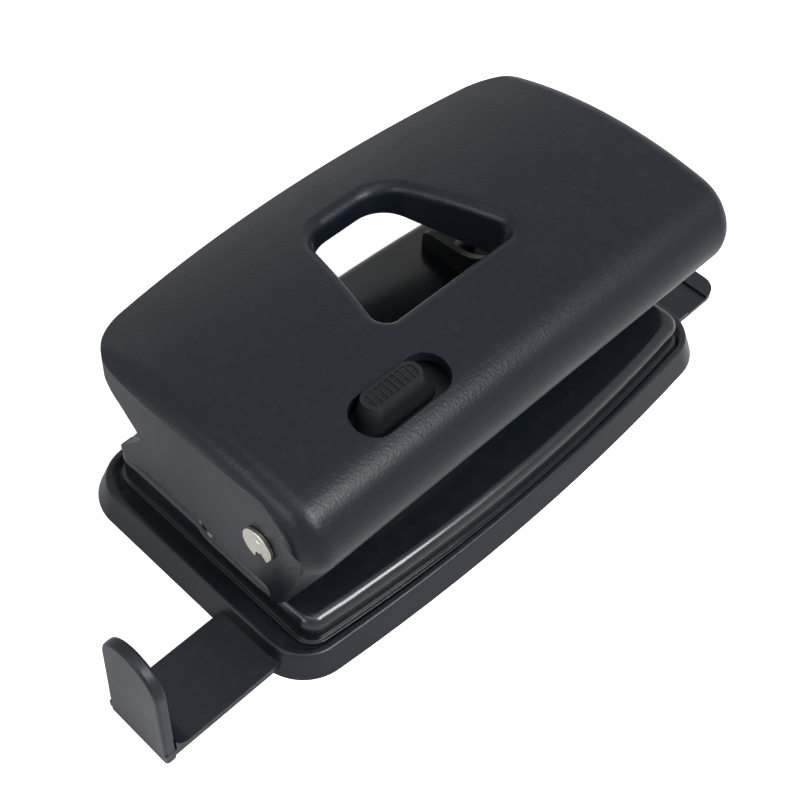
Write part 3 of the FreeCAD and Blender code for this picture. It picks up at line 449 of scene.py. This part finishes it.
def surface(sheet: Sheet, shader: bpy.types.Node, colour: bpy.types.NodeSocket, rough: bpy.types.NodeSocket,
            height: bpy.types.NodeSocket, relief: float, depth: float) -> None:
    """Lead colour, roughness and relief into a shader.

    Args:
        sheet: Sheet of the material.
        shader: Its Principled node.
        colour: Colour over the surface.
        rough: Roughness over the surface.
        height: Height of the relief, from 0 to 1.
        relief: Strength of the bump.
        depth: Depth of the relief in metres.
    """
    bump = sheet.add("ShaderNodeBump", {"Strength": relief, "Distance": depth, "Height": height})
    sheet.feed(shader.inputs["Base Color"], colour)
    sheet.feed(shader.inputs["Roughness"], rough)
    sheet.feed(shader.inputs["Normal"], bump.outputs[0])


# Mesh helpers

# Doubles of a CAD mesh lie closer together than this, in metres.
DOUBLES_WITHIN = 0.002 * MM
# Edges sharper than these angles, in degrees, stay crisp or get their small rounding.
CRISP_FROM = 32.0
CRISP_FROM_ON_WIRE = 50.0
ROUNDED_FROM = 38.0
ROUNDING_STEPS = 2


def merged_copy(node: str, name: str) -> bmesh.types.BMesh:
    """Copy a CAD node's mesh with its doubles merged.

    Args:
        node: Name of the CAD node.
        name: Name for the log.

    Returns:
        A bmesh in the frame's axes.
    """
    made = bmesh.new()
    made.from_mesh(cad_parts[node].data)
    bmesh.ops.remove_doubles(made, verts=made.verts, dist=DOUBLES_WITHIN)
    LOG.info("%s copied from %s: %d faces", name, node, len(made.faces))
    return made


def settle(made: bmesh.types.BMesh, name: str, crisp_from: float = CRISP_FROM) -> bpy.types.Object:
    """Turn a bmesh into an object at the origin, smooth up to an angle.

    Args:
        made: The finished bmesh, which is freed.
        name: Name of the object.
        crisp_from: Edges sharper than this, in degrees, stay crisp.

    Returns:
        The new object.
    """
    mesh = bpy.data.meshes.new(name)
    made.to_mesh(mesh)
    made.free()
    mesh.shade_smooth()
    mesh.set_sharp_from_angle(angle=math.radians(crisp_from))
    obj = bpy.data.objects.new(name, mesh)
    bpy.context.scene.collection.objects.link(obj)
    return obj


def softened(node: str, name: str, radius: float) -> bpy.types.Object:
    """Copy a CAD node and give its crisp edges a small rounding that catches the light.

    Args:
        node: Name of the CAD node.
        name: Name of the new piece.
        radius: Size of the rounding in millimetres.

    Returns:
        The new object, with a live bevel and evened normals.
    """
    obj = settle(merged_copy(node, name), name)
    edge = obj.modifiers.new("edge", "BEVEL")
    edge.width = radius * MM
    edge.segments = ROUNDING_STEPS
    edge.limit_method = "ANGLE"
    edge.angle_limit = math.radians(ROUNDED_FROM)
    even = obj.modifiers.new("even", "WEIGHTED_NORMAL")
    even.keep_sharp = True
    return obj


def dress(obj: bpy.types.Object, material: bpy.types.Material, body: Body, node: str) -> None:
    """Finish a new piece that stands for a CAD node.

    Args:
        obj: The piece.
        material: Its finish.
        body: Body that it rides on.
        node: CAD node that it replaces.
    """
    obj.data.materials.append(material)
    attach(obj, body.value)
    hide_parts(node)
    LOG.info("piece %s on %s", obj.name, body.value)


def paint(node: str, material: bpy.types.Material) -> None:
    """Give a carried-over CAD node its finish.

    Args:
        node: Name of the CAD node.
        material: Its finish.
    """
    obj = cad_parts[node]
    if not obj.material_slots:
        obj.data.materials.append(material)
    for slot in obj.material_slots:
        slot.material = material
    LOG.info("node %s painted %s", node, material.name)


# Studio


@dataclass(frozen=True)
class Lamp:
    """A soft area lamp.

    Args:
        name: Name of the lamp.
        place: Its place in metres.
        aim: Point that it faces.
        size: Width and height in metres.
        power: Power in watts.
        colour: Linear colour.
    """

    name: str
    place: tuple
    aim: tuple
    size: tuple
    power: float
    colour: tuple = DAYLIGHT

    def switch_on(self) -> None:
        """Add the lamp to the scene."""
        light = bpy.data.lights.new(self.name, "AREA")
        light.shape = "RECTANGLE"
        light.size, light.size_y = self.size
        light.energy = self.power
        light.color = self.colour
        obj = bpy.data.objects.new(self.name, light)
        way = Vector(self.aim) - Vector(self.place)
        obj.rotation_euler = way.to_track_quat("-Z", "Y").to_euler()
        obj.location = self.place
        bpy.context.scene.collection.objects.link(obj)


def background_rays(sheet: Sheet, gloss: float) -> bpy.types.NodeSocket:
    """Mark the rays that see the background: from the camera, through glass and off gloss.

    Args:
        sheet: Sheet of the world or of a backdrop's material.
        gloss: How much of the background the glossy surfaces get.

    Returns:
        Output that is 1 for camera and transmission rays and gloss for glossy rays.
    """
    path = sheet.add("ShaderNodeLightPath").outputs
    mirrored = sheet.math("MULTIPLY", path["Is Glossy Ray"], gloss)
    direct = sheet.math("MAXIMUM", path["Is Camera Ray"], mirrored)
    return sheet.math("MAXIMUM", direct, path["Is Transmission Ray"])


@dataclass(frozen=True)
class Viewpoint:
    """Camera at the photograph's place.

    Args:
        place: Camera centre.
        right: Unit vector to the image's right.
        up: Unit vector to the image's top.
        ahead: Unit vector of the view.
        sensor: Width of the sensor in millimetres.
        lens: Focal length in millimetres.
        shift: Shift in X and Y as shares of the image.
        near: Nearest distance that the camera sees.
    """

    place: tuple = (-0.15444, -0.13236, 0.26329)
    right: tuple = (0.70229, -0.71056, 0.04354)
    up: tuple = (0.54061, 0.57214, 0.61682)
    ahead: tuple = (0.46310, 0.40963, -0.78595)
    sensor: float = 36.0
    lens: float = 70.10
    shift: tuple = (0.0079, 0.0013)
    near: float = 0.01

    def make(self) -> None:
        """Create the camera and make it the scene's."""
        camera = bpy.data.cameras.new("view")
        camera.sensor_width = self.sensor
        camera.lens = self.lens
        camera.shift_x, camera.shift_y = self.shift
        camera.clip_start = self.near
        obj = bpy.data.objects.new("view", camera)
        back = -Vector(self.ahead)
        turn = Matrix((self.right, self.up, back)).transposed()
        obj.matrix_world = Matrix.Translation(self.place) @ turn.to_4x4()
        bpy.context.scene.collection.objects.link(obj)
        bpy.context.scene.camera = obj


@dataclass(frozen=True)
class Studio:
    """Pale floor, soft lamps and a plain world.

    Args:
        floor_half: Half the side of the floor.
        paper_lit: Linear colour of the floor under the lamps.
        paper_seen: Linear colour of the floor as background.
        paper_glow: Glow of the floor as background.
        paper_gloss: How much of that background the glossy surfaces get.
        sky_lit: Strength of the world on the object.
        sky_seen: Strength of the world as background.
        sky_gloss: How much of that background the glossy surfaces get.
        lamps: The lamps.
    """

    floor_half: float = 2.4
    paper_lit: tuple = (0.52, 0.52, 0.53)
    paper_seen: tuple = (0.86, 0.86, 0.86)
    paper_glow: float = 0.62
    paper_gloss: float = 0.2
    sky_lit: float = 0.38
    sky_seen: float = 1.0
    sky_gloss: float = 0.8
    lamps: tuple = (
        Lamp("window", place=(0.16, -0.85, 0.90), aim=(0, 0, 0.02), size=(0.6, 0.45), power=20.0),
        Lamp("ceiling", place=(-0.25, -0.15, 1.40), aim=(0, 0, 0), size=(1.0, 1.0), power=7.0),
        Lamp("left_fill", place=(-1.1, 0.1, 0.5), aim=(0, 0, 0.02), size=(0.7, 0.5), power=5.5,
             colour=(0.96, 0.98, 1.0)),
    )

    def make(self) -> None:
        """Build floor, world and lamps."""
        bpy.context.scene.view_settings.view_transform = "Standard"
        self._floor()
        self._world()
        for lamp in self.lamps:
            lamp.switch_on()

    def _floor(self) -> None:
        """Lay the floor with a colour that shows nearly white and keeps the shadow."""
        made = bmesh.new()
        bmesh.ops.create_grid(made, x_segments=2, y_segments=2, size=self.floor_half)
        floor = settle(made, "floor")
        material, sheet, shader = principled("floor_paper")
        seen = background_rays(sheet, self.paper_gloss)
        paper = sheet.tint(seen, (*self.paper_lit, 1), (*self.paper_seen, 1))
        sheet.feed(shader.inputs["Base Color"], paper)
        shader.inputs["Roughness"].default_value = 0.9
        shader.inputs["Specular IOR Level"].default_value = 0.1
        shader.inputs["Emission Color"].default_value = WHITE
        sheet.feed(shader.inputs["Emission Strength"], sheet.math("MULTIPLY", seen, self.paper_glow))
        floor.data.materials.append(material)

    def _world(self) -> None:
        """Hang a plain world that cameras and glossy surfaces see as white."""
        world = bpy.data.worlds.new("studio")
        bpy.context.scene.world = world
        world.use_nodes = True
        sheet = Sheet(world.node_tree)
        sky = world.node_tree.nodes["Background"]
        sky.inputs["Color"].default_value = WHITE
        strength = sheet.spread(background_rays(sheet, self.sky_gloss), self.sky_lit, self.sky_seen)
        sheet.feed(sky.inputs["Strength"], strength)


# Sub-assemblies


@dataclass
class Palette:
    """All finishes of the punch, built once.

    Args:
        effects: Shared shader node groups.
    """

    effects: Effects = field(default_factory=Effects)

    def __post_init__(self) -> None:
        """Build the materials."""
        make = self.effects
        self.handle = MouldedPlastic("satin_handle").material(make)
        self.tray = MouldedPlastic("tray_plastic", colour=(0.0056, 0.0074, 0.0108),
                                   polished=(0.0068, 0.0088, 0.0126), roughness=0.32, grain_scale=1500.0,
                                   grain_depth=0.00001, specular=0.27).material(make)
        self.guide = MouldedPlastic("guide_plastic", colour=(0.0080, 0.0100, 0.0135),
                                    polished=(0.0095, 0.0118, 0.0155), roughness=0.38, grain_scale=1800.0,
                                    grain_depth=0.00002).material(make)
        self.button = MouldedPlastic("button_plastic", colour=(0.0060, 0.0070, 0.0090),
                                     polished=(0.0080, 0.0090, 0.0110), roughness=0.38, grain_scale=2600.0,
                                     grain_depth=0.00001).material(make)
        self.plate = GlossPaint("gloss_plate").material(make)
        self.bracket = GlossPaint("bracket_paint", colour=(0.0045, 0.0050, 0.0060), roughness=0.48,
                                  coat=0.02, specular=0.22).material(make)
        self.steel = BareMetal("bright_steel").material(make)
        self.dark_steel = BareMetal("blackened_steel", bright=(0.060, 0.062, 0.068),
                                    dull=(0.035, 0.036, 0.040), roughness=0.40).material(make)
        self.clip = BareMetal("nickel_clip", bright=(0.62, 0.58, 0.52), dull=(0.46, 0.43, 0.38),
                              roughness=0.30).material(make)
        self.spring = BareMetal("spring_wire", bright=(0.50, 0.50, 0.52), dull=(0.36, 0.36, 0.38),
                                roughness=0.36).material(make)


@dataclass
class Base:
    """Chip tray, bed plate, die strip, brackets and the hinge hardware.

    Args:
        palette: All finishes.
        tray_edge: Rounding of the tray's edges in millimetres.
        plate_edge: Rounding of the plate's edges in millimetres.
        clip_edge: Rounding of the clips' edges in millimetres.
    """

    palette: Palette
    tray_edge: float = 0.15
    plate_edge: float = 0.12
    clip_edge: float = 0.14

    def build(self) -> None:
        """Refine the large pieces and dress the carried-over nodes."""
        tray = softened("chip_tray", "tray_moulding", self.tray_edge)
        dress(tray, self.palette.tray, Body.TRAY, "chip_tray")
        plate = softened("bed_plate", "plate_pressing", self.plate_edge)
        dress(plate, self.palette.plate, Body.BASE, "bed_plate")
        paint("die_strip", self.palette.steel)
        for node in ("die_rivets", "bracket_rivets"):
            paint(node, self.palette.dark_steel)
        paint("hinge_rod", self.palette.clip)
        for side in Side:
            paint(f"bracket_{side.word}", self.palette.bracket)
            paint(f"punch_guide_{side.word}", self.palette.dark_steel)
            clip = softened(f"e_clip_{side.word}", f"clip_{side.word}", self.clip_edge)
            dress(clip, self.palette.clip, Body.BASE, f"e_clip_{side.word}")


@dataclass
class Punches:
    """Punch pins, their rings and their return springs.

    Args:
        palette: All finishes.
        line_y: Y of the punching line in millimetres.
        pitch: Distance of the two punches in millimetres.
        wire: Wire of the springs in millimetres.
        mean: Mean radius of the coils in millimetres.
        low: Underside of the springs in millimetres.
        high: Top of the springs in millimetres.
        active: Open turns between the two closed end turns.
        snug: Rise of a closed end turn, in diameters of the wire.
        sides: Sides of the wire's round section.
        steps: Steps in a turn.
    """

    palette: Palette
    line_y: float = -4.6
    pitch: float = 80.0
    wire: float = 0.8
    mean: float = 3.9
    low: float = 17.62
    high: float = 27.12
    active: float = 4.5
    snug: float = 1.03
    sides: int = 12
    steps: int = 36

    def build(self) -> None:
        """Dress the pins and rings and wind the springs."""
        bodies = {Side.LEFT: Body.LEFT_PUNCH, Side.RIGHT: Body.RIGHT_PUNCH}
        for side, body in bodies.items():
            paint(f"punch_pin_{side.word}", self.palette.steel)
            paint(f"punch_ring_{side.word}", self.palette.dark_steel)
            x = side.value * self.pitch / 2
            spring = self.wind(f"spring_{side.word}", x)
            spring.data.materials.append(self.palette.spring)
            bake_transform(spring)
            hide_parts(f"punch_spring_{side.word}")
            LOG.info("piece %s between %s and %s", spring.name, Body.BASE.value, body.value)

    def wind(self, name: str, x: float) -> bpy.types.Object:
        """Wind a spring: a round section spun into a closed turn, the open turns and a closed turn.

        Args:
            name: Name of the spring.
            x: X of its axis in millimetres.

        Returns:
            The spring, closed at both ends.
        """
        closed_rise = self.wire * self.snug
        open_rise = (self.high - self.low - self.wire - 2 * closed_rise) / self.active
        made = bmesh.new()
        bmesh.ops.create_circle(made, segments=self.sides, radius=self.wire / 2 * MM)
        bmesh.ops.rotate(made, verts=made.verts, matrix=Matrix.Rotation(math.pi / 2, 3, "X"))
        start = Vector((x + self.mean, self.line_y, self.low + self.wire / 2)) * MM
        bmesh.ops.translate(made, verts=made.verts, vec=start)
        ends = list(made.edges)
        section = made.verts[:] + made.edges[:]
        for turns, rise in ((1.0, closed_rise), (self.active, open_rise), (1.0, closed_rise)):
            steps = int(self.steps * turns)
            lift = Vector((0, 0, rise * turns / steps)) * MM
            spun = bmesh.ops.spin(made, geom=section, cent=Vector((x, self.line_y, 0)) * MM, axis=(0, 0, 1),
                                  dvec=lift, angle=math.tau * turns, steps=steps, use_duplicate=False)
            section = spun["geom_last"]
        ends += [item for item in section if isinstance(item, bmesh.types.BMEdge)]
        bmesh.ops.holes_fill(made, edges=ends, sides=0)
        bmesh.ops.recalc_face_normals(made, faces=made.faces)
        return settle(made, name, CRISP_FROM_ON_WIRE)


@dataclass
class Handle:
    """Handle shell, its steel lever and the lock slide.

    Args:
        palette: All finishes.
        shell_edge: Rounding of the shell's edges in millimetres.
        slide_edge: Rounding of the slide's edges in millimetres.
    """

    palette: Palette
    shell_edge: float = 0.16
    slide_edge: float = 0.12

    def build(self) -> None:
        """Refine shell and slide and dress the carried-over nodes."""
        shell = softened("handle_shell", "handle_moulding", self.shell_edge)
        dress(shell, self.palette.handle, Body.HANDLE, "handle_shell")
        slide = softened("lock_slide", "slide_button", self.slide_edge)
        dress(slide, self.palette.button, Body.LOCK, "lock_slide")
        for node in ("inner_lever", "lock_retainer"):
            paint(node, self.palette.bracket)
        for node in ("lever_screws", "retainer_screws"):
            paint(node, self.palette.dark_steel)


@dataclass
class Guide:
    """Sliding paper guide.

    Args:
        palette: All finishes.
        edge: Rounding of the guide's edges in millimetres.
    """

    palette: Palette
    edge: float = 0.15

    def build(self) -> None:
        """Refine the guide's moulding."""
        guide = softened("paper_guide", "guide_moulding", self.edge)
        dress(guide, self.palette.guide, Body.GUIDE, "paper_guide")


def main() -> None:
    """Set the view and the studio, then build each sub-assembly."""
    logging.basicConfig(level=logging.INFO, format="%(message)s")
    Viewpoint().make()
    Studio().make()
    palette = Palette()
    for part in (Base(palette), Punches(palette), Handle(palette), Guide(palette)):
        part.build()
        LOG.info("%s done", type(part).__name__)


if __name__ == "__main__":
    main()
